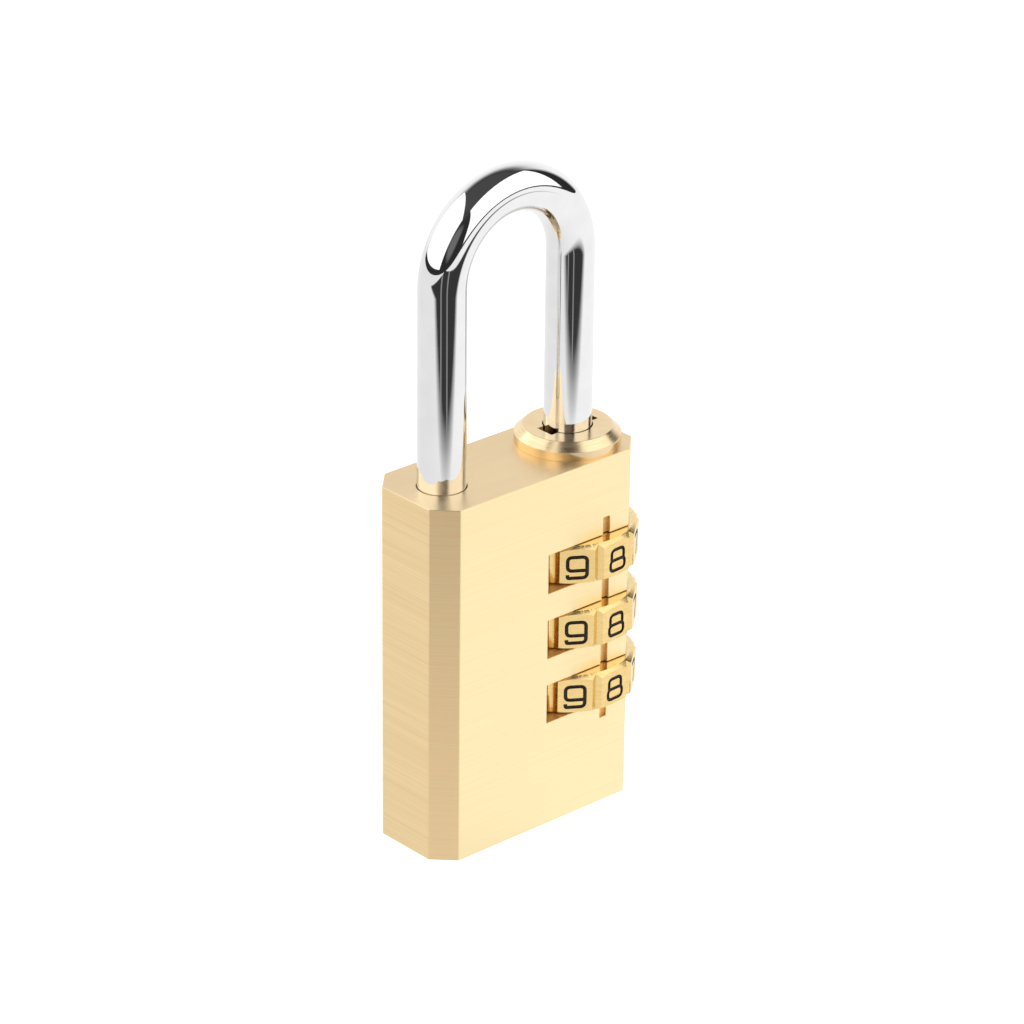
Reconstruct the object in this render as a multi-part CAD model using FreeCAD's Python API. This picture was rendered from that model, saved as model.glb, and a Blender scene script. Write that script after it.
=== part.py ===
import FreeCAD
import Part

import math
import os

# A three-dial combination padlock. Lengths are in millimetres and angles in degrees.
# The origin is the centre of the base face, +Z points up, the front face looks
# along -Y, and the dials stand at the +X side.

# How far a cutting shape runs past the face that it cuts
overcut = 1.0

# Body: one block of brass
body_width = 30.0
body_thickness = 12.8
corner_chamfer = 2.45
edge_break = 0.12

# Lock axis: the long leg, the dials and the sleeves share it. The insets are the
# distances of the two legs' axes from the body's sides
lock_axis_inset = 6.1
toe_axis_inset = 5.25
bore_radius = 5.0
bore_floor = 4.0

# Shackle: one bent rod
rod_radius = 2.75
straight_leg_height = 23.25
rod_end_chamfer = 0.5
toe_depth = 7.0
toe_hole_clearance = 0.08
toe_rest_gap = 0.05

# Ears on the long leg, one pair for each dial
ear_tip_radius = 3.4
ear_width = 1.9
ear_height = 1.8
ear_free_play = 0.15
leg_tail = 0.9

# Dials, named from the lowest up
dial_names = ("bottom", "middle", "top")
first_dial_z = 15.33
dial_pitch = 8.14
dial_height = 4.66
dial_flat_radius = 8.03
dial_flats = 10
dial_groove_width = 1.15
dial_groove_depth = 0.45
dial_rim_inset = 0.3
dial_bevel_drop = 0.27
dial_play = 3.0
dial_bore_clearance = 0.08
relief_height = 1.2

# Windows for the dials, and the index groove that crosses them
window_gap = 0.07
window_wall_gap = 0.08
index_groove_width = 0.95
index_groove_depth = 0.4
index_groove_shift = 0.28
index_groove_overrun = 2.1

# Sleeves: one in each dial
sleeve_radius = 4.12
sleeve_gap = 0.06
gate_ring_thickness = 2.0
gate_side_clearance = 0.3
gate_tip_clearance = 0.1
recess_clearance = 0.15
tooth_width = 1.1
tooth_height = 0.9
tooth_drop = 0.05
tooth_tip_clearance = 0.12
notch_side_clearance = 0.12
notch_root_clearance = 0.1
change_travel = 1.0

# Collar: flanged bushing of the long leg
spigot_length = 7.79
flange_radius = 6.05
flange_rim_height = 1.15
flange_bevel_height = 0.85
flange_top_radius = 4.97
leg_clearance = 0.1
collar_fit = 0.02
collar_recess_clearance = 0.2
lift_stop_gap = 0.05
driver_notch_width = 2.4
driver_notch_radius = 3.5
driver_notch_depth = 2.2

# Seat washer and clutch spring under the sleeves
seat_thickness = 0.8
seat_hole_radius = 2.2
seat_clearance = 0.15
clutch_wire_radius = 0.4
clutch_coil_clearance = 0.3
clutch_turns = 5
spring_end_gap = 0.03
coil_steps = 14
wire_sides = 6

# Detents: a ball and a spring beside each dial
ball_radius = 0.75
ball_tip_gap = 0.06
pocket_clearance = 0.05
pocket_depth = 4.0
detent_wire_radius = 0.12
detent_coil_clearance = 0.08
detent_turns = 5

# Places that follow from the sizes above
lock_axis_x = body_width / 2 - lock_axis_inset
toe_axis_x = toe_axis_inset - body_width / 2
bend_radius = (lock_axis_x - toe_axis_x) / 2
dial_corner_radius = math.hypot(
    dial_flat_radius,
    dial_flat_radius * math.tan(math.pi / dial_flats) - dial_groove_width / 2,
)
window_wall_x = lock_axis_x - dial_corner_radius - window_wall_gap
sleeve_height = dial_pitch - sleeve_gap
tooth_tip_radius = bore_radius - tooth_tip_clearance
leg_hole_radius = rod_radius + leg_clearance
sleeve_stack_bottom = first_dial_z - sleeve_height / 2
sleeve_stack_top = first_dial_z + (len(dial_names) - 1) * dial_pitch + sleeve_height / 2
seat_top = sleeve_stack_bottom - sleeve_gap
collar_bottom = sleeve_stack_top + sleeve_gap
body_height = collar_bottom + spigot_length
bend_start = body_height + straight_leg_height
toe_end = body_height - toe_depth
collar_top = body_height + flange_rim_height + flange_bevel_height
ear_drop = gate_ring_thickness + change_travel + ear_free_play
first_ear_top = first_dial_z + sleeve_height / 2 - ear_drop
leg_end = first_ear_top - ear_height - leg_tail


def dial_z(index):
    return first_dial_z + index * dial_pitch


def ear_top(index):
    return first_ear_top + index * dial_pitch


def drum(radius, bottom, top, x=lock_axis_x, y=0.0):
    # Upright cylinder between two heights, on the lock axis unless told otherwise
    return Part.makeCylinder(radius, top - bottom, FreeCAD.Vector(x, y, bottom))


def block(x0, x1, y0, y1, z0, z1):
    return Part.makeBox(x1 - x0, y1 - y0, z1 - z0, FreeCAD.Vector(x0, y0, z0))


def turned(shape, degrees):
    # Copy of a shape turned about the lock axis
    copy = shape.copy()
    copy.rotate(FreeCAD.Vector(lock_axis_x, 0, 0), FreeCAD.Vector(0, 0, 1), degrees)
    return copy


def ring_of(shape, count):
    # A shape repeated evenly about the lock axis
    return [turned(shape, step * 360 / count) for step in range(count)]


def coil(mean_radius, wire_radius, length, turns):
    # Coil spring along +Z from the origin, its wire drawn with flats
    pitch = (length - 2 * wire_radius) / turns

    def corner(step, side):
        angle = 2 * math.pi * step / coil_steps
        slope = 2 * math.pi * side / wire_sides
        radius = mean_radius + wire_radius * math.cos(slope)
        rise = wire_radius * (1 + math.sin(slope)) + pitch * step / coil_steps
        return FreeCAD.Vector(radius * math.cos(angle), radius * math.sin(angle), rise)

    def facet(*points):
        return Part.Face(Part.makePolygon(list(points) + [points[0]]))

    last = turns * coil_steps
    faces = [
        facet(*[corner(0, side) for side in range(wire_sides)]),
        facet(*[corner(last, side) for side in range(wire_sides)]),
    ]
    for step in range(last):
        for side in range(wire_sides):
            here = corner(step, side)
            ahead = corner(step + 1, side)
            above = corner(step, side + 1)
            beyond = corner(step + 1, side + 1)
            faces.append(facet(here, ahead, beyond))
            faces.append(facet(here, beyond, above))
    shell = Part.makeShell(faces)
    shell.sewShape()
    spring = Part.makeSolid(shell)
    if spring.Volume < 0:
        spring.reverse()
    return spring


def make_body():
    half_width = body_width / 2
    half_thickness = body_thickness / 2
    body = block(-half_width, half_width, -half_thickness, half_thickness, 0, body_height)
    uprights = [edge for edge in body.Edges if edge.BoundBox.ZLength > body_height / 2]
    body = body.makeChamfer(corner_chamfer, uprights)
    body = body.makeChamfer(edge_break, body.Edges)

    body = body.cut(drum(bore_radius, bore_floor, body_height + overcut))
    toe_hole_floor = toe_end - toe_rest_gap
    toe_hole_radius = rod_radius + toe_hole_clearance
    body = body.cut(drum(toe_hole_radius, toe_hole_floor, body_height + overcut, toe_axis_x))

    window_half = dial_height / 2 + window_gap
    pocket_radius = ball_radius + pocket_clearance
    for index in range(len(dial_names)):
        middle = dial_z(index)
        body = body.cut(
            block(window_wall_x, half_width + overcut, -half_thickness - overcut, half_thickness + overcut,
                  middle - window_half, middle + window_half)
        )
        pocket = Part.makeCylinder(
            pocket_radius,
            pocket_depth + overcut,
            FreeCAD.Vector(window_wall_x - pocket_depth, 0, middle),
            FreeCAD.Vector(1, 0, 0),
        )
        body = body.cut(pocket)

    reach = window_half + index_groove_overrun
    groove = block(
        lock_axis_x + index_groove_shift - index_groove_width / 2,
        lock_axis_x + index_groove_shift + index_groove_width / 2,
        -half_thickness - overcut,
        -half_thickness + index_groove_depth,
        dial_z(0) - reach,
        dial_z(len(dial_names) - 1) + reach,
    )
    return body.cut(groove)


def make_shackle():
    leg = drum(rod_radius, leg_end, bend_start)
    toe = drum(rod_radius, toe_end, bend_start, toe_axis_x)
    leg = leg.makeChamfer(rod_end_chamfer, lowest_edges(leg))
    toe = toe.makeChamfer(rod_end_chamfer, lowest_edges(toe))
    bend_centre = FreeCAD.Vector(lock_axis_x - bend_radius, 0, bend_start)
    circle = Part.makeCircle(
        rod_radius, FreeCAD.Vector(lock_axis_x, 0, bend_start), FreeCAD.Vector(0, 0, 1)
    )
    bend = Part.Face(Part.Wire(circle)).revolve(bend_centre, FreeCAD.Vector(0, -1, 0), 180)
    shackle = leg.fuse([toe, bend])
    for index in range(len(dial_names)):
        top = ear_top(index)
        bar = block(lock_axis_x - ear_width / 2, lock_axis_x + ear_width / 2,
                    -ear_tip_radius, ear_tip_radius, top - ear_height, top)
        shackle = shackle.fuse(bar.common(drum(ear_tip_radius, top - ear_height, top)))
    return shackle.removeSplitter()


def lowest_edges(shape):
    floor = shape.BoundBox.ZMin
    return [edge for edge in shape.Edges if edge.BoundBox.ZMax < floor + 0.001]


def make_collar():
    # One turned profile: spigot, flange rim, bevel, top face and stepped bore
    recess_top = ear_top(len(dial_names) - 1) + dial_pitch + lift_stop_gap
    recess_radius = ear_tip_radius + collar_recess_clearance
    rim_top = body_height + flange_rim_height
    spigot_radius = bore_radius - collar_fit
    outline = [
        (leg_hole_radius, recess_top),
        (recess_radius, recess_top),
        (recess_radius, collar_bottom),
        (spigot_radius, collar_bottom),
        (spigot_radius, body_height),
        (flange_radius, body_height),
        (flange_radius, rim_top),
        (flange_top_radius, collar_top),
        (leg_hole_radius, collar_top),
    ]
    points = [FreeCAD.Vector(lock_axis_x + radius, 0, z) for radius, z in outline]
    face = Part.Face(Part.makePolygon(points + points[:1]))
    collar = face.revolve(FreeCAD.Vector(lock_axis_x, 0, 0), FreeCAD.Vector(0, 0, 1), 360)
    notch_floor = collar_top - driver_notch_depth
    notches = block(lock_axis_x - driver_notch_radius, lock_axis_x + driver_notch_radius,
                    -driver_notch_width / 2, driver_notch_width / 2, notch_floor, collar_top + overcut)
    return collar.cut(notches)


def dial_prism(bottom):
    # Ten flats with a V groove between each two, one flat facing the front
    flat_half = math.pi / dial_flats - math.asin(dial_groove_width / 2 / dial_corner_radius)
    points = []
    for flat in range(dial_flats):
        middle = math.radians(flat * 360 / dial_flats - 90)
        groove = middle + math.pi / dial_flats
        places = (
            (dial_corner_radius, middle - flat_half),
            (dial_corner_radius, middle + flat_half),
            (dial_corner_radius - dial_groove_depth, groove),
        )
        for radius, angle in places:
            x = lock_axis_x + radius * math.cos(angle)
            points.append(FreeCAD.Vector(x, radius * math.sin(angle), bottom))
    face = Part.Face(Part.makePolygon(points + points[:1]))
    return face.extrude(FreeCAD.Vector(0, 0, dial_height))


def dial_blank(bottom):
    # Turned disc, its two faces dished off towards the rim so that each meets the
    # flats in an arc
    rim_radius = dial_flat_radius - dial_rim_inset
    top = bottom + dial_height
    outline = [
        (0, bottom),
        (rim_radius, bottom),
        (dial_corner_radius, bottom + dial_bevel_drop),
        (dial_corner_radius, top - dial_bevel_drop),
        (rim_radius, top),
        (0, top),
    ]
    points = [FreeCAD.Vector(lock_axis_x + radius, 0, z) for radius, z in outline]
    face = Part.Face(Part.makePolygon(points + points[:1]))
    return face.revolve(FreeCAD.Vector(lock_axis_x, 0, 0), FreeCAD.Vector(0, 0, 1), 360)


def make_dial(index):
    bottom = dial_z(index) - dial_height / 2
    top = bottom + dial_height
    dial = dial_prism(bottom).common(dial_blank(bottom))
    dial = dial.cut(drum(sleeve_radius + dial_bore_clearance, bottom - overcut, top + overcut))
    dial = dial.cut(drum(bore_radius, bottom - overcut, bottom + relief_height))
    half_notch = tooth_width / 2 + notch_side_clearance
    notch = block(lock_axis_x, lock_axis_x + bore_radius, -half_notch, half_notch, bottom, top + overcut)
    notch = notch.common(drum(tooth_tip_radius + notch_root_clearance, bottom, top + overcut))
    dial = dial.cut(ring_of(notch, dial_flats))
    return turned(dial, dial_play)


def make_sleeve(index):
    bottom = dial_z(index) - sleeve_height / 2
    top = bottom + sleeve_height
    ring_bottom = top - gate_ring_thickness
    sleeve = drum(sleeve_radius, bottom, top)
    tooth_bottom = dial_z(index) - dial_height / 2 + relief_height - tooth_drop
    tooth_top = tooth_bottom + tooth_height
    tooth = block(lock_axis_x, lock_axis_x + bore_radius, -tooth_width / 2, tooth_width / 2,
                  tooth_bottom, tooth_top)
    tooth = tooth.common(drum(tooth_tip_radius, tooth_bottom, tooth_top))
    sleeve = sleeve.fuse(ring_of(tooth, dial_flats))
    sleeve = sleeve.cut(drum(ear_tip_radius + recess_clearance, bottom - overcut, ring_bottom))
    sleeve = sleeve.cut(drum(leg_hole_radius, ring_bottom - overcut, top + overcut))
    half_gate = ear_width / 2 + gate_side_clearance
    gate = block(lock_axis_x - half_gate, lock_axis_x + half_gate, -bore_radius, bore_radius,
                 ring_bottom - overcut, top + overcut)
    gate = gate.common(drum(ear_tip_radius + gate_tip_clearance, ring_bottom - overcut, top + overcut))
    sleeve = sleeve.cut(gate).removeSplitter()
    return turned(sleeve, dial_play)


def make_spring_seat():
    washer = drum(bore_radius - seat_clearance, seat_top - seat_thickness, seat_top)
    return washer.cut(drum(seat_hole_radius, seat_top - seat_thickness - overcut, seat_top + overcut))


def make_clutch_spring():
    length = seat_top - seat_thickness - bore_floor - 2 * spring_end_gap
    mean_radius = bore_radius - clutch_coil_clearance - clutch_wire_radius
    spring = coil(mean_radius, clutch_wire_radius, length, clutch_turns)
    spring.translate(FreeCAD.Vector(lock_axis_x, 0, bore_floor + spring_end_gap))
    return spring


def ball_x():
    return lock_axis_x - dial_corner_radius - ball_tip_gap - ball_radius


def make_detent_ball(index):
    return Part.makeSphere(ball_radius, FreeCAD.Vector(ball_x(), 0, dial_z(index)))


def make_detent_spring(index):
    # The spring's front end stands on the ball, its back end on the pocket's floor
    coil_outside = ball_radius + pocket_clearance - detent_coil_clearance
    mean_radius = coil_outside - detent_wire_radius
    back = window_wall_x - pocket_depth + spring_end_gap
    inside = mean_radius - detent_wire_radius
    front = ball_x() - math.sqrt(ball_radius ** 2 - inside ** 2) - spring_end_gap
    spring = coil(mean_radius, detent_wire_radius, front - back, detent_turns)
    spring.rotate(FreeCAD.Vector(0, 0, 0), FreeCAD.Vector(0, 1, 0), 90)
    spring.translate(FreeCAD.Vector(back, 0, dial_z(index)))
    return spring


def write(name, shape):
    solids = shape.Solids
    if len(solids) != 1 or not shape.isValid():
        raise RuntimeError(name + " is not one valid solid")
    solids[0].exportStep("parts/" + name + ".step")
    print(name, round(solids[0].Volume, 2))


os.makedirs("parts", exist_ok=True)
write("lock_body", make_body())
write("collar", make_collar())
write("shackle", make_shackle())
for number, dial_name in enumerate(dial_names):
    write("dial_" + dial_name, make_dial(number))
    write("sleeve_" + dial_name, make_sleeve(number))
    write("detent_ball_" + dial_name, make_detent_ball(number))
    write("detent_spring_" + dial_name, make_detent_spring(number))
write("spring_seat", make_spring_seat())
write("clutch_spring", make_clutch_spring())
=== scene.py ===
import math

import bpy
from mathutils import Matrix, Vector


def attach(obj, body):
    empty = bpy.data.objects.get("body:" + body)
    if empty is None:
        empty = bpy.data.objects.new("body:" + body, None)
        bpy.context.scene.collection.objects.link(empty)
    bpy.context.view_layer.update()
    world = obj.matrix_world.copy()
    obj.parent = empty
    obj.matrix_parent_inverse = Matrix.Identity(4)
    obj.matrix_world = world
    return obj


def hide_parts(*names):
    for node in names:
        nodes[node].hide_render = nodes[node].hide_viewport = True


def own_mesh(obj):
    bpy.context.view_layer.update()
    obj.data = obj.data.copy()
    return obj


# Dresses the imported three-dial padlock. Pieces are modelled in millimetres and
# brought to metres when they are finished. The front face looks along -Y.

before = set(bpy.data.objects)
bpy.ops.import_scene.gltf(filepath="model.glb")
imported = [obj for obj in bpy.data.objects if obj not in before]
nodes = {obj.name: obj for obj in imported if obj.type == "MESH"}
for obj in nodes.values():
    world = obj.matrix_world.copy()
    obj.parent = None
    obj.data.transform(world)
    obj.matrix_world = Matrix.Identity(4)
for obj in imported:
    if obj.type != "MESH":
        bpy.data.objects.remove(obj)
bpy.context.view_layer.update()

# Sizes of the real pieces, in millimetres
BODY_WIDTH, BODY_THICKNESS, BODY_HEIGHT = 30.0, 12.8, 43.5
CORNER_CHAMFER = 2.45
# The two legs' places along the body: the locked leg stands in the collar and the dials
LOCK_X, TOE_X = 8.9, -9.75
BORE_RADIUS, BORE_FLOOR = 5.0, 4.0
TOE_HOLE_RADIUS, TOE_HOLE_FLOOR = 2.83, 36.45
ROD_RADIUS, ROD_CHAMFER, BEND_START = 2.75, 0.5, 66.75
LEG_END, TOE_END = 13.52, 36.5
# The ears on the leg's hidden end
EAR_TIP, EAR_WIDTH, EAR_HEIGHT = 3.4, 1.9, 1.8
EAR_TOPS = (16.22, 24.36, 32.5)
DIAL_Z = {"bottom": 15.33, "middle": 23.47, "top": 31.61}
DIAL_FLAT, DIAL_HALF, DIAL_END_RADIUS = 8.03, 2.33, 7.73
# What lies within this radius of a dial's axis is its bore and notches
DIAL_BORE = 5.2
# How far the dials are turned from their clicks, in degrees
DIAL_PLAY = 3.0
WINDOW_WALL_X, WINDOW_HALF = 0.537, 2.4
POCKET_RADIUS, POCKET_DEPTH = 0.8, 4.0
GROOVE_X, GROOVE_HALF, GROOVE_DEPTH = 9.18, 0.475, 0.4
GROOVE_BOTTOM, GROOVE_TOP = 10.83, 36.11
COLLAR_RADIUS, COLLAR_FOOT, LEG_HOLE = 4.98, 35.71, 2.85
EAR_ROOM_RADIUS, EAR_ROOM_TOP = 3.6, 40.69
FLANGE_RADIUS, FLANGE_RIM_TOP = 6.05, 44.58
FLANGE_TOP_RADIUS, FLANGE_TOP = 5.08, 45.5
NOTCH_REACH, NOTCH_HALF, NOTCH_FLOOR = 3.5, 1.2, 43.2
BODY_EDGE, COLLAR_EDGE = 0.06, 0.05
# How far a cutting tool stands out of what it cuts
OVER = 1.0

# The numbers by the headings of their flats, and how far each stands beside the flat's middle
NUMBER_AZIMUTHS = {270: (8, 0.15), 234: (9, 0.0), 198: (0, 0.0), 162: (1, 0.0), 126: (2, 0.0),
                   90: (3, 0.0), 54: (4, 0.0), 18: (5, 0.0), 342: (6, 0.0), 306: (7, 0.0)}
# The cutter's radius, its depth under the flat, and how far the numbers stand below mid height
STROKE_RADIUS, STROKE_SINK, NUMBER_DROP = 0.235, 0.05, 0.24


def lin(text, alpha=1.0):
    # sRGB hex to the linear colour that Blender's sockets take
    def one(value):
        value /= 255
        return value / 12.92 if value <= 0.04045 else ((value + 0.055) / 1.055) ** 2.4
    return tuple(one(int(text[i:i + 2], 16)) for i in (0, 2, 4)) + (alpha,)


def add(tree, kind, links=None, **settings):
    # One node with its settings and links. A setting is a socket's name or a property
    node = tree.nodes.new(kind)
    for name, value in settings.items():
        label = name.replace("_", " ")
        if hasattr(node, name):
            setattr(node, name, value)
        else:
            found = [s for s in node.inputs if s.name.lower() == label.lower()]
            found[0].default_value = value
    for target, source in (links or {}).items():
        tree.links.new(source, node.inputs[target])
    return node


# Working on objects by operator

def only(*objects):
    if bpy.context.object and bpy.context.object.mode != "OBJECT":
        bpy.ops.object.mode_set(mode="OBJECT")
    bpy.ops.object.select_all(action="DESELECT")
    for obj in objects:
        obj.select_set(True)
    bpy.context.view_layer.objects.active = objects[0]


def into_place(obj):
    only(obj)
    bpy.ops.object.transform_apply(location=True, rotation=True, scale=True)
    return obj


def edit_all(obj):
    only(obj)
    bpy.ops.object.mode_set(mode="EDIT")
    bpy.ops.mesh.select_all(action="SELECT")


def leave_edit():
    bpy.ops.object.mode_set(mode="OBJECT")


def pick_edges(obj, test):
    # Selects the edges whose two ends pass a test, and enters edit mode
    only(obj)
    bpy.ops.object.mode_set(mode="EDIT")
    bpy.ops.mesh.select_mode(type="EDGE")
    bpy.ops.mesh.select_all(action="DESELECT")
    leave_edit()
    mesh = obj.data
    for edge in mesh.edges:
        a, b = (mesh.vertices[i].co for i in edge.vertices)
        edge.select = test(a, b)
    bpy.ops.object.mode_set(mode="EDIT")


def modify(obj, kind, **settings):
    only(obj)
    modifier = obj.modifiers.new(kind.lower(), kind)
    for name, value in settings.items():
        setattr(modifier, name, value)
    bpy.ops.object.modifier_apply(modifier=modifier.name)


def carve(obj, tool, operation="DIFFERENCE", **settings):
    modify(obj, "BOOLEAN", operation=operation, object=tool, solver="EXACT", **settings)
    bpy.data.objects.remove(tool)


def block(name, low, high):
    middle = [(a + b) / 2 for a, b in zip(low, high)]
    bpy.ops.mesh.primitive_cube_add(size=1, location=middle)
    obj = bpy.context.object
    obj.name = name
    obj.scale = [b - a for a, b in zip(low, high)]
    return into_place(obj)


def drum(name, radius, low, high, x, sides=96):
    bpy.ops.mesh.primitive_cylinder_add(
        vertices=sides, radius=radius, depth=high - low, location=(x, 0, (low + high) / 2))
    obj = bpy.context.object
    obj.name = name
    return into_place(obj)


def extrude_up(rise):
    bpy.ops.mesh.extrude_region_move(TRANSFORM_OT_translate={"value": (0, 0, rise)})


def resize_ring(scale, x, z):
    bpy.ops.transform.resize(value=(scale, scale, 1), center_override=(x, 0, z))


def start_rings(name, x, rings, sides):
    # Draws a turned wall ring by ring, and stays in edit mode with the last ring selected
    radius, z = rings[0]
    bpy.ops.mesh.primitive_circle_add(vertices=sides, radius=radius, location=(x, 0, z))
    obj = bpy.context.object
    obj.name = name
    into_place(obj)
    edit_all(obj)
    for (radius, z), (last_radius, last_z) in zip(rings[1:], rings):
        extrude_up(z - last_z)
        if radius != last_radius:
            resize_ring(radius / last_radius, x, z)
    return obj


def turned_piece(name, x, rings):
    # A hollow turned piece, whose first and last rings are joined
    obj = start_rings(name, x, rings, 128)
    bpy.ops.mesh.select_all(action="DESELECT")
    bpy.ops.mesh.select_non_manifold()
    bpy.ops.mesh.bridge_edge_loops()
    tidy_faces()
    leave_edit()
    return obj


def tidy_faces():
    bpy.ops.mesh.select_all(action="SELECT")
    bpy.ops.mesh.normals_make_consistent(inside=False)


def soften(obj, width, angle=30):
    # Breaks the edges sharper than an angle with one narrow flat, as deburring does
    modify(obj, "BEVEL", width=width, segments=1, limit_method="ANGLE",
           angle_limit=math.radians(angle), use_clamp_overlap=True)


def give_material(obj, *materials):
    obj.data.materials.clear()
    for material in materials:
        obj.data.materials.append(material)


def finish_piece(obj, body, node, material, smooth):
    # Millimetres to metres, smooth shading on round faces, and its place in the frame
    only(obj)
    obj.scale = (0.001, 0.001, 0.001)
    bpy.ops.object.transform_apply(location=True, rotation=True, scale=True)
    bpy.ops.object.shade_smooth_by_angle(angle=math.radians(smooth))
    if material:
        give_material(obj, material)
    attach(obj, body)
    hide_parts(node)


# Materials

def start_material(name):
    material = bpy.data.materials.new(name)
    material.use_nodes = True
    tree = material.node_tree
    tree.nodes.clear()
    shader = add(tree, "ShaderNodeBsdfPrincipled")
    add(tree, "ShaderNodeOutputMaterial", {"Surface": shader.outputs[0]})
    return material, tree, shader


def stretched_noise(tree, stretch, detail=2.0):
    # Noise whose stretch is in patterns per millimetre along X, Y and Z
    place = add(tree, "ShaderNodeTexCoord")
    scaled = add(tree, "ShaderNodeVectorMath", {0: place.outputs["Object"]}, operation="MULTIPLY")
    scaled.inputs[1].default_value = [1000 * s for s in stretch]
    return add(tree, "ShaderNodeTexNoise", {"Vector": scaled.outputs[0]},
               Scale=1.0, Detail=detail, Roughness=0.5)


def ramp(tree, source, low, high, from_low=0.3, from_high=0.7):
    # A value that runs from low to high while the source runs from from_low to from_high
    node = add(tree, "ShaderNodeMapRange", {0: source})
    for name, value in (("From Min", from_low), ("From Max", from_high), ("To Min", low), ("To Max", high)):
        node.inputs[name].default_value = value
    return node.outputs[0]


def calculate(tree, operation, first, second=None):
    node = add(tree, "ShaderNodeMath", operation=operation)
    for socket, value in zip(node.inputs, (first, second)):
        if isinstance(value, (int, float)):
            socket.default_value = value
        elif value is not None:
            tree.links.new(value, socket)
    return node.outputs[0]


def mix_colours(tree, factor, first, second):
    # Sockets 6 and 7 and output 2 are the mix node's colour ones
    node = add(tree, "ShaderNodeMix", data_type="RGBA")
    tree.links.new(factor, node.inputs[0])
    node.inputs[6].default_value = first
    node.inputs[7].default_value = second
    return node.outputs[2]


def metal(name, light, dark, roughness, spread, stretch, bump, anisotropic=0.0, turn=0.0, axis="Z",
          detail=2.0, coarse=None):
    # A worked metal: its lines or grain vary the tone, the roughness and the surface. Light and
    # dark are sRGB hex, bump is in millimetres, and coarse stretches a second, wider set of lines
    material, tree, shader = start_material(name)
    height = stretched_noise(tree, stretch, detail).outputs[0]
    if coarse:
        wide = stretched_noise(tree, coarse, 1.0).outputs[0]
        height = calculate(tree, "MULTIPLY", calculate(tree, "ADD", height, wide), 0.5)
    tone = ramp(tree, height, 0.0, 1.0)
    tree.links.new(mix_colours(tree, tone, lin(dark), lin(light)), shader.inputs["Base Color"])
    tree.links.new(ramp(tree, height, roughness - spread, roughness + spread), shader.inputs["Roughness"])
    surface = add(tree, "ShaderNodeBump", {"Height": height}, Strength=1.0, Distance=bump / 1000)
    tree.links.new(surface.outputs[0], shader.inputs["Normal"])
    shader.inputs["Metallic"].default_value = 1.0
    if anisotropic:
        shader.inputs["Anisotropic"].default_value = anisotropic
        shader.inputs["Anisotropic Rotation"].default_value = turn
        lines = add(tree, "ShaderNodeTangent", direction_type="RADIAL", axis=axis)
        tree.links.new(lines.outputs[0], shader.inputs["Tangent"])
    return material


# Yellow brass rubbed on a belt: fine level lines round the sides that smear reflections upright
brushed_brass = metal("brushed_brass", "FEECBC", "FBE5B3", 0.38, 0.03, (0.05, 0.05, 9.0), 0.0018,
                      anisotropic=0.65, turn=0.25, coarse=(0.03, 0.03, 4.0))
# Its sides, less finely rubbed: rougher, and painted a duller gold than the front as shade, with plainer level
# lines
shaded_side_brass = metal("side_brass_painted_shade", "F6DDAE", "E9CC9A", 0.42, 0.05, (0.05, 0.05, 12.0), 0.003,
                   anisotropic=0.8, turn=0.25, coarse=(0.03, 0.03, 4.5))
# Its chamfers: painted a gold between the front's and the sides' as shade, and they smear reflections furthest
shaded_chamfer_brass = metal("chamfer_brass_painted_shade", "FFE4B4", "FCD8A2", 0.42, 0.05, (0.05, 0.05, 12.0), 0.003,
                     anisotropic=0.85, turn=0.25, coarse=(0.03, 0.03, 4.5))
# The same brass milled across the top: lines along the width, a little glossier
milled_brass_top = metal("milled_brass_top", "FFE8BD", "FADEB0", 0.38, 0.05, (0.05, 7.0, 0.05), 0.003,
                         anisotropic=0.5, axis="X", coarse=(0.03, 1.8, 0.03))
# Turned brass: cutter rings that fan the light out from the centre
turned_brass = metal("turned_brass", "F1D9AF", "E7CB9E", 0.21, 0.035, (0.4, 0.4, 6.0), 0.0012, anisotropic=0.3)
# Milled and tumbled brass of the dials: richer gold, faint grain on the flats
milled_brass = metal("milled_brass_dial", "F3D797", "E8C580", 0.24, 0.05, (1.2, 1.2, 5.0), 0.002)
# Polished end faces of the dials: they mirror the body beside them
polished_brass = metal("polished_brass_face", "F0DAA8", "E8CF98", 0.12, 0.03, (1.5, 1.5, 1.5), 0.0008)
# Brass left as cut inside the slots, notches and bores: darker and duller
cut_brass = metal("cut_brass", "FBDA98", "EEC47C", 0.6, 0.08, (2.5, 2.5, 2.5), 0.004)
# Hardened steel under bright chrome: a near mirror with slight orange peel from the bent rod
chrome = metal("chromed_steel", "E8E8E8", "E3E3E3", 0.045, 0.012, (0.45, 0.45, 0.45), 0.0009, detail=3.0)
# Bright drawn steel of the balls and spring wire: grey, faint drawing marks
bright_steel = metal("bright_steel", "C9CACC", "B4B6B9", 0.22, 0.05, (3.0, 3.0, 3.0), 0.001)


def make_number_paint():
    # Black enamel wiped into the engraved numbers: dull, with brass dust worn into it
    material, tree, shader = start_material("black_enamel")
    grain = stretched_noise(tree, (4.0, 4.0, 4.0), 3.0)
    tone = ramp(tree, grain.outputs[0], 0.0, 1.0, 0.45, 0.8)
    tree.links.new(mix_colours(tree, tone, lin("2A2014"), lin("54442C")), shader.inputs["Base Color"])
    tree.links.new(ramp(tree, grain.outputs[0], 0.42, 0.6), shader.inputs["Roughness"])
    return material


number_paint = make_number_paint()


# Body

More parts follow.
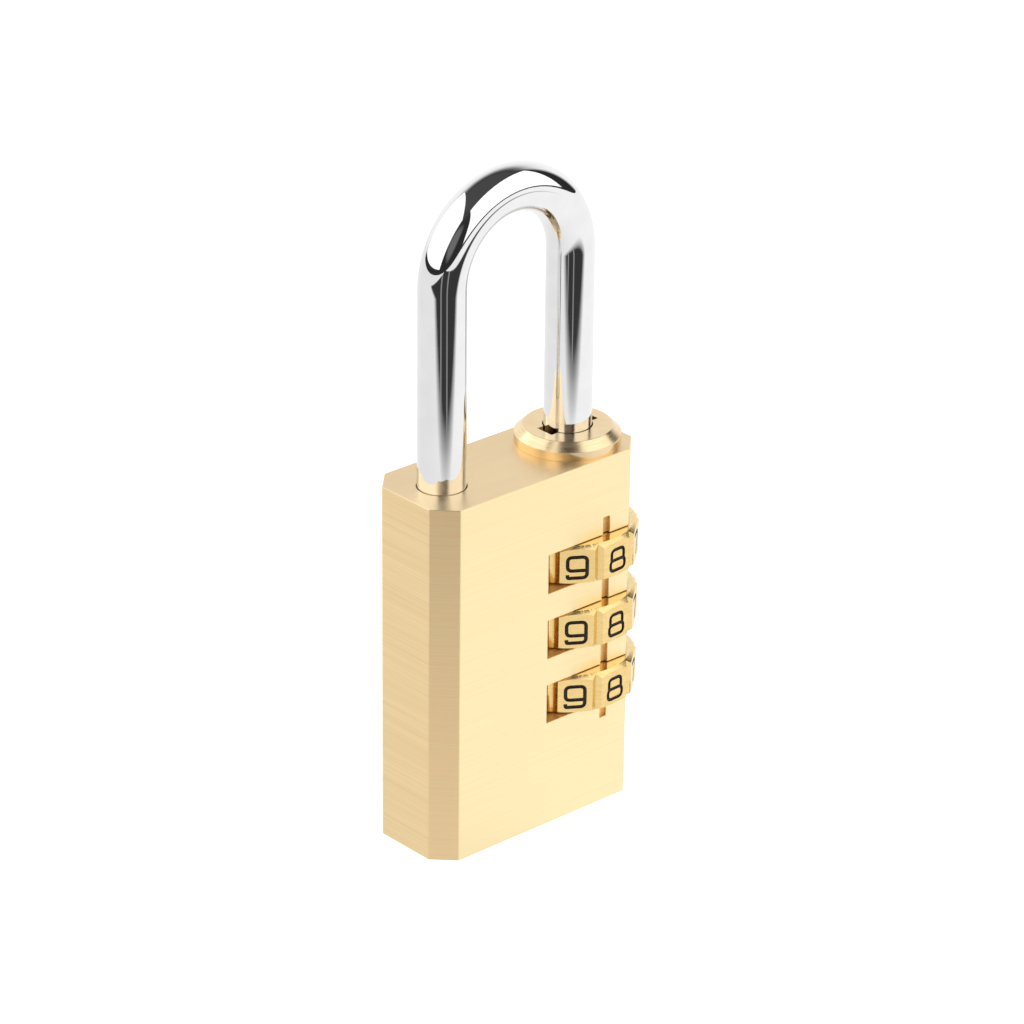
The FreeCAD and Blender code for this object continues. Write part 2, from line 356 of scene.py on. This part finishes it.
def make_body():
    half_width, half_thickness = BODY_WIDTH / 2, BODY_THICKNESS / 2
    body = block("brass_body", (-half_width, -half_thickness, 0), (half_width, half_thickness, BODY_HEIGHT))
    pick_edges(body, lambda a, b: abs(a.z - b.z) > BODY_HEIGHT / 2)
    bpy.ops.mesh.bevel(offset=CORNER_CHAMFER, offset_type="OFFSET", segments=1, affect="EDGES")
    leave_edit()
    carve(body, drum("bore_tool", BORE_RADIUS, BORE_FLOOR, BODY_HEIGHT + OVER, LOCK_X))
    carve(body, drum("toe_tool", TOE_HOLE_RADIUS, TOE_HOLE_FLOOR, BODY_HEIGHT + OVER, TOE_X))
    for z in DIAL_Z.values():
        carve(body, block("window_tool", (WINDOW_WALL_X, -half_thickness - OVER, z - WINDOW_HALF),
                          (half_width + OVER, half_thickness + OVER, z + WINDOW_HALF)))
        bpy.ops.mesh.primitive_cylinder_add(
            vertices=32, radius=POCKET_RADIUS, depth=POCKET_DEPTH + OVER,
            location=(WINDOW_WALL_X + (OVER - POCKET_DEPTH) / 2, 0, z), rotation=(0, math.pi / 2, 0))
        carve(body, into_place(bpy.context.object))
    carve(body, block("groove_tool", (GROOVE_X - GROOVE_HALF, -half_thickness - OVER, GROOVE_BOTTOM),
                      (GROOVE_X + GROOVE_HALF, -half_thickness + GROOVE_DEPTH, GROOVE_TOP)))
    soften(body, BODY_EDGE)
    finish_piece(body, "lock", "lock_body", brushed_brass, 8)
    # Each face takes the finish of the side it belongs to; the sides and chamfers also carry painted shade
    for material in (milled_brass_top, cut_brass, shaded_side_brass, shaded_chamfer_brass):
        body.data.materials.append(material)
    end_face, inside, side, chamfer = 1, 2, 3, 4
    for face in body.data.polygons:
        place = face.center * 1000
        outside = (abs(abs(place.x) - half_width) < 0.1 or abs(abs(place.y) - half_thickness) < 0.1
                   or abs(place.x) + abs(place.y) > half_width + half_thickness - CORNER_CHAMFER - 0.2)
        at_end = place.z < 0.2 or place.z > BODY_HEIGHT - 0.2
        if abs(face.normal.z) > 0.9 and at_end:
            face.material_index = end_face
        elif not outside and not at_end:
            face.material_index = inside
        elif abs(face.normal.y) < 0.9:
            face.material_index = side if abs(face.normal.x) > 0.9 else chamfer


# Collar

def make_collar():
    rings = [
        (COLLAR_RADIUS, COLLAR_FOOT), (COLLAR_RADIUS, BODY_HEIGHT), (FLANGE_RADIUS, BODY_HEIGHT),
        (FLANGE_RADIUS, FLANGE_RIM_TOP), (FLANGE_TOP_RADIUS, FLANGE_TOP), (LEG_HOLE, FLANGE_TOP),
        (LEG_HOLE, EAR_ROOM_TOP), (EAR_ROOM_RADIUS, EAR_ROOM_TOP), (EAR_ROOM_RADIUS, COLLAR_FOOT),
    ]
    collar = turned_piece("brass_collar", LOCK_X, rings)
    carve(collar, block("notch_tool", (LOCK_X - NOTCH_REACH, -NOTCH_HALF, NOTCH_FLOOR),
                        (LOCK_X + NOTCH_REACH, NOTCH_HALF, FLANGE_TOP + 0.9)))
    soften(collar, COLLAR_EDGE, 25)
    finish_piece(collar, "lock", "collar", turned_brass, 8)
    # The notches are left as cut
    collar.data.materials.append(cut_brass)
    notch = 1
    for face in collar.data.polygons:
        place = face.center * 1000
        on_wall, on_floor = abs(face.normal.y) > 0.9, abs(place.z - NOTCH_FLOOR) < 0.1
        if abs(place.y) < NOTCH_HALF + 0.1 and place.z < FLANGE_TOP - 0.1 and (on_wall or on_floor):
            face.material_index = notch


# Shackle

def make_shackle():
    end_radius = ROD_RADIUS - ROD_CHAMFER
    rings = [(end_radius, LEG_END), (ROD_RADIUS, LEG_END + ROD_CHAMFER), (ROD_RADIUS, BEND_START)]
    rod = start_rings("chromed_shackle", LOCK_X, rings, 96)
    bpy.ops.mesh.spin(steps=96, angle=math.pi, center=((LOCK_X + TOE_X) / 2, 0, BEND_START), axis=(0, 1, 0))
    extrude_up(TOE_END + ROD_CHAMFER - BEND_START)
    extrude_up(-ROD_CHAMFER)
    resize_ring(end_radius / ROD_RADIUS, TOE_X, TOE_END)
    bpy.ops.mesh.select_all(action="SELECT")
    bpy.ops.mesh.fill_holes(sides=0)
    tidy_faces()
    leave_edit()
    for top in EAR_TOPS:
        bar = block("ear", (LOCK_X - EAR_WIDTH / 2, -EAR_TIP - OVER, top - EAR_HEIGHT),
                    (LOCK_X + EAR_WIDTH / 2, EAR_TIP + OVER, top))
        carve(bar, drum("ear_tool", EAR_TIP, top - EAR_HEIGHT - OVER, top + OVER, LOCK_X), "INTERSECT")
        carve(rod, bar, "UNION")
    finish_piece(rod, "shackle", "shackle", chrome, 30)


# Dials and their numbers

def rounded(corners, radius=0.55, steps=6, closed=False):
    # Points of a line whose corners are rounded off. A corner's third value is its own radius
    places = [Vector(corner[:2]) for corner in corners]
    count = len(places)
    points = []
    for i, (corner, here) in enumerate(zip(corners, places)):
        if not closed and i in (0, count - 1):
            points.append(here)
            continue
        back, ahead = places[i - 1] - here, places[(i + 1) % count] - here
        own = corner[2] if len(corner) > 2 else radius
        reach = min(own / math.tan(back.angle(ahead) / 2), back.length * 0.49, ahead.length * 0.49)
        start, end = here + back.normalized() * reach, here + ahead.normalized() * reach
        for step in range(steps + 1):
            t = step / steps
            points.append(start * (1 - t) ** 2 + here * 2 * t * (1 - t) + end * t ** 2)
    return points


# Strokes of each number, closed or open, in millimetres from the middle of its flat
W, H = 1.11, 1.28
NUMBER_STROKES = {
    0: [(True, [(-W, -H), (W, -H), (W, H), (-W, H)])],
    1: [(False, [(-0.5, 0.8), (0.15, H), (0.15, -H)])],
    2: [(False, [(-W, 0.75), (-W, H), (W, H), (W, 0.0), (-W, 0.0), (-W, -H), (W, -H)])],
    3: [(False, [(-W, H), (W, H), (W, -H), (-W, -H)]), (False, [(-0.45, 0.0), (W - 0.05, 0.0)])],
    4: [(False, [(-W, H), (-W, -0.4), (W, -0.4)]), (False, [(0.55, H), (0.55, -H)])],
    5: [(False, [(W, H), (-W, H, 0.2), (-W, 0.2, 0.2), (W, 0.2), (W, -H), (-W, -H), (-W, -0.75)])],
    6: [(False, [(0.05 - W, 0.38), (W, 0.38), (W, -H), (-W, -H), (-W, H), (W, H), (W, 0.85)])],
    7: [(False, [(-W, H), (W, H), (-0.2, -H)])],
    8: [(True, [(-W, -H), (W, -H), (W, 0.0), (-W, 0.0)]),
        (False, [(-0.95, 0.03), (-0.95, H), (0.95, H), (0.95, 0.03)])],
    9: [(False, [(W - 0.05, -0.38), (-W, -0.38), (-W, H), (W, H), (W, -H), (-W, -H), (-W, -0.85)])],
}


def stroke_tube(closed, corners, place):
    # The path of a round-nosed cutter along one stroke, laid on its flat
    curve = bpy.data.curves.new("stroke", "CURVE")
    curve.dimensions = "3D"
    points = rounded(corners, closed=closed)
    spline = curve.splines.new("POLY")
    spline.points.add(len(points) - 1)
    for target, point in zip(spline.points, points):
        target.co = (*(place @ Vector((point.x, point.y, 0))), 1)
    spline.use_cyclic_u = closed
    curve.bevel_depth = STROKE_RADIUS
    curve.bevel_resolution = 2
    curve.use_fill_caps = True
    tube = bpy.data.objects.new("stroke", curve)
    bpy.context.scene.collection.objects.link(tube)
    only(tube)
    bpy.ops.object.convert(target="MESH")
    tube = bpy.context.object
    edit_all(tube)
    bpy.ops.mesh.remove_doubles(threshold=0.0005)
    bpy.ops.mesh.fill_holes(sides=0)
    tidy_faces()
    leave_edit()
    return tube


def number_places(z):
    # Each number of a dial at height z, with its place: X along the flat, Y up and Z outwards
    for azimuth, (number, shift) in NUMBER_AZIMUTHS.items():
        angle = math.radians(azimuth + DIAL_PLAY)
        out = Vector((math.cos(angle), math.sin(angle), 0))
        side = Vector((-math.sin(angle), math.cos(angle), 0))
        centre = Vector((LOCK_X, 0, z - NUMBER_DROP)) + out * (DIAL_FLAT - STROKE_SINK) + side * shift
        place = Matrix((side, Vector((0, 0, 1)), out)).transposed().to_4x4()
        yield number, Matrix.Translation(centre) @ place


def copy_of_node(node, name):
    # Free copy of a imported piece, whose own mesh can be worked on
    copy = nodes[node].copy()
    copy.data = nodes[node].data.copy()
    for key in list(copy.keys()):
        del copy[key]
    copy.parent = None
    copy.name = name
    bpy.context.scene.collection.objects.link(copy)
    return copy


def bevel_tool(top):
    # Ring that cuts the bevel round a dial's upper end, at 45 degrees
    over, reach = 0.1, 1.0
    tool = turned_piece("bevel_tool", LOCK_X, [
        (DIAL_END_RADIUS - over, top + over), (DIAL_END_RADIUS + reach, top - reach),
        (DIAL_END_RADIUS + reach, top + over)])
    tool.data.materials.append(milled_brass)
    return tool


def make_dial(name):
    dial = copy_of_node("dial_" + name, "number_dial_" + name)
    dial.data.transform(Matrix.Scale(1000, 4))
    edit_all(dial)
    bpy.ops.mesh.remove_doubles(threshold=0.001)
    bpy.ops.mesh.dissolve_limited(angle_limit=math.radians(0.3))
    leave_edit()
    give_material(dial, milled_brass, polished_brass, cut_brass, number_paint)
    end_face, inside = 1, 2
    middle = DIAL_Z[name]
    for face in dial.data.polygons:
        reach = math.hypot(face.center.x - LOCK_X, face.center.y)
        at_end = abs(face.center.z - middle) > 2.0
        if abs(face.normal.z) > 0.98 and at_end:
            face.material_index = end_face
        elif reach < DIAL_BORE or abs(face.normal.z) > 0.3 and at_end:
            face.material_index = inside
    carve(dial, bevel_tool(middle + DIAL_HALF), material_mode="TRANSFER")
    tubes = [stroke_tube(closed, corners, place) for number, place in number_places(middle)
             for closed, corners in NUMBER_STROKES[number]]
    only(*tubes)
    bpy.ops.object.join()
    cutter = bpy.context.object
    give_material(cutter, number_paint)
    carve(dial, cutter, use_self=True, material_mode="TRANSFER")
    finish_piece(dial, "dial_" + name, "dial_" + name, None, 20)


def make_spring(name):
    # Copy of a packed spring, held still on the lock body
    spring = copy_of_node(name, "steel_" + name)
    give_material(spring, bright_steel)
    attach(spring, "lock")
    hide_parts(name)
    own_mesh(spring)


make_body()
make_collar()
make_shackle()
for dial_name in DIAL_Z:
    make_dial(dial_name)
    make_spring("detent_spring_" + dial_name)
make_spring("clutch_spring")
# The other pieces inside are shown as packed
for node_name, node in nodes.items():
    if node_name.startswith("sleeve"):
        give_material(node, turned_brass)
    elif node_name.startswith(("detent_ball", "spring_seat")):
        give_material(node, bright_steel)


# Floor, light and camera

# The camera, fitted to ten corners of the body. It looks at the body's middle line at the target's
# height and is then moved right and down. Angles are in degrees, headings are counted from the
# front face and positive towards +X, and the camera's lengths are in millimetres
CAMERA_AZIMUTH, CAMERA_ELEVATION, CAMERA_ROLL = -41.953, 25.441, 0.615
TARGET_HEIGHT, CAMERA_DISTANCE, CAMERA_RIGHT, CAMERA_DOWN = 40.0, 535.9, 0.476, 2.508
SENSOR_WIDTH, LENS_LENGTH = 36, 169.3
# Brightness of the paper's painted glow as metal mirrors it, of its own glow and of the room past its edge
PAPER_DIM, PAPER_BRIGHT, PAPER_GLOW, PAST_PAPER = 0.96, 1.11, 0.62, 0.043
# Where the paper's front edge lies and how soft it looks, and where the paper ends beside, in metres
PAPER_EDGE, PAPER_EDGE_AZIMUTH, PAPER_EDGE_SOFT = 0.096, -23, 0.03
PAPER_SIDE_START, PAPER_SIDE_END = 0.26, 0.29
# Heading in which the paper's painted glow gets brighter, a painted pool of light
PAPER_LIT_AZIMUTH = 60
# Headings of two pale things in the dark room, painted on the paper's glow as the thin lines seen in the legs
PALE_LINES, PALE_LINE_LIGHT = (-49, -23), 0.3
SOFT_BOX_LIGHT = 1.4
# The paper sweep behind the lock: its heading, and its brightness by the sine of the elevation
SWEEP_AZIMUTH = 148
SWEEP_LIGHT = ((0.0, 1.08), (0.3, 1.08), (0.5, 0.98), (0.62, 0.66), (0.72, 0.2), (0.8, 0.0))
# Grey of the walls and of the ceiling, and a pale patch of wall
WALL_GREY, CEILING_GREY = 0.028, 0.075
PATCH_AZIMUTH, PATCH_ELEVATION, PATCH_LIGHT = -38, 22, 0.15
# Cosines between which each of them fades in, away from its middle
PALE_LINE_FADE, SWEEP_FADE, PATCH_FADE = (0.998, 0.9996), (0.52, 0.68), (0.955, 0.985)


def along(tree, source, way):
    # How far a point lies along a way
    node = add(tree, "ShaderNodeVectorMath", {0: source}, operation="DOT_PRODUCT")
    node.inputs[1].default_value = way
    return node.outputs["Value"]


def heading(azimuth):
    # Level direction, counted from the front face, positive towards +X
    return Vector((math.sin(math.radians(azimuth)), -math.cos(math.radians(azimuth)), 0))


def direction(azimuth, elevation):
    # The heading raised by an elevation
    tilt = math.radians(elevation)
    return heading(azimuth) * math.cos(tilt) + Vector((0, 0, math.sin(tilt)))


def make_floor():
    # White paper. Metal sees it as a painted glow, paler towards the front right as a painted pool of light,
    # with its front edge and the dark room beyond it, as in a small photo booth
    bpy.ops.mesh.primitive_plane_add(size=8, location=(0, 0, 0))
    floor = bpy.context.object
    floor.name = "paper_floor"
    material = bpy.data.materials.new("white_paper")
    material.use_nodes = True
    tree = material.node_tree
    tree.nodes.clear()
    place = add(tree, "ShaderNodeTexCoord").outputs["Object"]
    ahead = along(tree, place, heading(PAPER_EDGE_AZIMUTH))
    before_edge = ramp(tree, ahead, 1.0, 0.0, PAPER_EDGE, PAPER_EDGE + PAPER_EDGE_SOFT)
    aside = calculate(tree, "ABSOLUTE", along(tree, place, heading(CAMERA_AZIMUTH + 90)))
    beside = ramp(tree, aside, 0.0, 1.0, PAPER_SIDE_START, PAPER_SIDE_END)
    paper = calculate(tree, "MAXIMUM", before_edge, beside)
    unit = add(tree, "ShaderNodeVectorMath", {0: place}, operation="NORMALIZE").outputs[0]
    lit_side = along(tree, unit, heading(PAPER_LIT_AZIMUTH))
    # Painted pool of light: the glow that metal sees is brighter towards the lit side
    shade = ramp(tree, lit_side, PAPER_DIM, PAPER_BRIGHT, -0.9, 0.9)
    seen = calculate(tree, "MAXIMUM", calculate(tree, "MULTIPLY", paper, shade), PAST_PAPER)
    for azimuth in PALE_LINES:
        line = ramp(tree, along(tree, unit, heading(azimuth)), 0.0, PALE_LINE_LIGHT, *PALE_LINE_FADE)
        seen = calculate(tree, "MAXIMUM", seen, line)
    mirrored = add(tree, "ShaderNodeEmission", {"Strength": seen}, Color=(1, 1, 1, 1))
    diffuse = add(tree, "ShaderNodeBsdfDiffuse", Color=lin("F4F4F2"))
    glow = add(tree, "ShaderNodeEmission", Color=(1, 1, 1, 1), Strength=PAPER_GLOW)
    lit = add(tree, "ShaderNodeAddShader", {0: diffuse.outputs[0], 1: glow.outputs[0]})
    ray = add(tree, "ShaderNodeLightPath")
    mixed = add(tree, "ShaderNodeMixShader",
                {0: ray.outputs["Is Camera Ray"], 1: mirrored.outputs[0], 2: lit.outputs[0]})
    add(tree, "ShaderNodeOutputMaterial", {"Surface": mixed.outputs[0]})
    give_material(floor, material)


def soft_box(name, azimuth, elevation, low, high, radiance, distance=2.0):
    # A rectangular soft light, placed by the outline that the chrome mirrors: low and high are its
    # lower left and upper right corners, in tangents from the direction it stands in
    out = direction(azimuth, elevation)
    side = out.cross(Vector((0, 0, 1))).normalized()
    rise = side.cross(out)
    width, height = (high[0] - low[0]) * distance, (high[1] - low[1]) * distance
    data = bpy.data.lights.new(name, "AREA")
    data.shape = "RECTANGLE"
    data.size, data.size_y = width, height
    data.energy = radiance * math.pi * width * height
    lamp = bpy.data.objects.new(name, data)
    centre = out + side * (low[0] + high[0]) / 2 + rise * (low[1] + high[1]) / 2
    shackle_middle = Vector((0, 0, 0.06))
    turn = Matrix((side, rise, out)).transposed().to_4x4()
    lamp.matrix_world = Matrix.Translation(centre * distance + shackle_middle) @ turn
    lamp.visible_camera = False
    bpy.context.scene.collection.objects.link(lamp)


def make_world():
    # Dim room with a pale paper sweep behind the lock, and white where the camera looks
    world = bpy.data.worlds.new("studio")
    world.use_nodes = True
    tree = world.node_tree
    tree.nodes.clear()
    place = add(tree, "ShaderNodeTexCoord").outputs["Generated"]
    height = add(tree, "ShaderNodeSeparateXYZ", {0: place}).outputs["Z"]
    flat = add(tree, "ShaderNodeVectorMath", {0: place}, operation="MULTIPLY")
    flat.inputs[1].default_value = (1, 1, 0)
    level = add(tree, "ShaderNodeVectorMath", {0: flat.outputs[0]}, operation="NORMALIZE").outputs[0]
    behind = ramp(tree, along(tree, level, heading(SWEEP_AZIMUTH)), 0.0, 1.0, *SWEEP_FADE)
    fall = add(tree, "ShaderNodeValToRGB", {0: height})
    stops = fall.color_ramp.elements
    stops[0].position, stops[1].position = SWEEP_LIGHT[0][0], SWEEP_LIGHT[-1][0]
    for position, _ in SWEEP_LIGHT[1:-1]:
        stops.new(position)
    for stop, (_, value) in zip(stops, SWEEP_LIGHT):
        stop.color = (value, value, value, 1)
    sweep = calculate(tree, "MULTIPLY", behind, fall.outputs[0])
    dark_room = ramp(tree, height, WALL_GREY, CEILING_GREY, 0.6, 0.9)
    facing_patch = along(tree, place, direction(PATCH_AZIMUTH, PATCH_ELEVATION))
    patch = ramp(tree, facing_patch, 0.0, PATCH_LIGHT, *PATCH_FADE)
    room = calculate(tree, "ADD", calculate(tree, "ADD", sweep, dark_room), patch)
    camera_ray = add(tree, "ShaderNodeLightPath").outputs["Is Camera Ray"]
    strength = calculate(tree, "MAXIMUM", room, camera_ray)
    glow = add(tree, "ShaderNodeBackground", {"Strength": strength}, Color=(1, 1, 1, 1))
    add(tree, "ShaderNodeOutputWorld", {"Surface": glow.outputs[0]})
    bpy.context.scene.world = world


def make_camera():
    roll = math.radians(CAMERA_ROLL)
    back = direction(CAMERA_AZIMUTH, CAMERA_ELEVATION)
    level = (-back).cross(Vector((0, 0, 1))).normalized()
    upright = level.cross(-back)
    right = level * math.cos(roll) + upright * math.sin(roll)
    up = upright * math.cos(roll) - level * math.sin(roll)
    place = (Vector((0, 0, TARGET_HEIGHT)) + back * CAMERA_DISTANCE + right * CAMERA_RIGHT
             - up * CAMERA_DOWN)
    data = bpy.data.cameras.new("photo_camera")
    data.sensor_width, data.lens = SENSOR_WIDTH, LENS_LENGTH
    data.clip_start = 0.01
    camera = bpy.data.objects.new("photo_camera", data)
    turn = Matrix((right, up, back)).transposed().to_4x4()
    camera.matrix_world = Matrix.Translation(place / 1000) @ turn
    bpy.context.scene.collection.objects.link(camera)
    bpy.context.scene.camera = camera


make_floor()
soft_box("left_soft_box", -109.4, 32.2, (-1.03, -0.505), (1.19, 0.77), SOFT_BOX_LIGHT)
soft_box("right_soft_box", 26.4, 38.5, (-0.9, -0.7), (0.63, 0.5), SOFT_BOX_LIGHT)
make_world()
make_camera()
bpy.context.scene.view_settings.view_transform = "Standard"
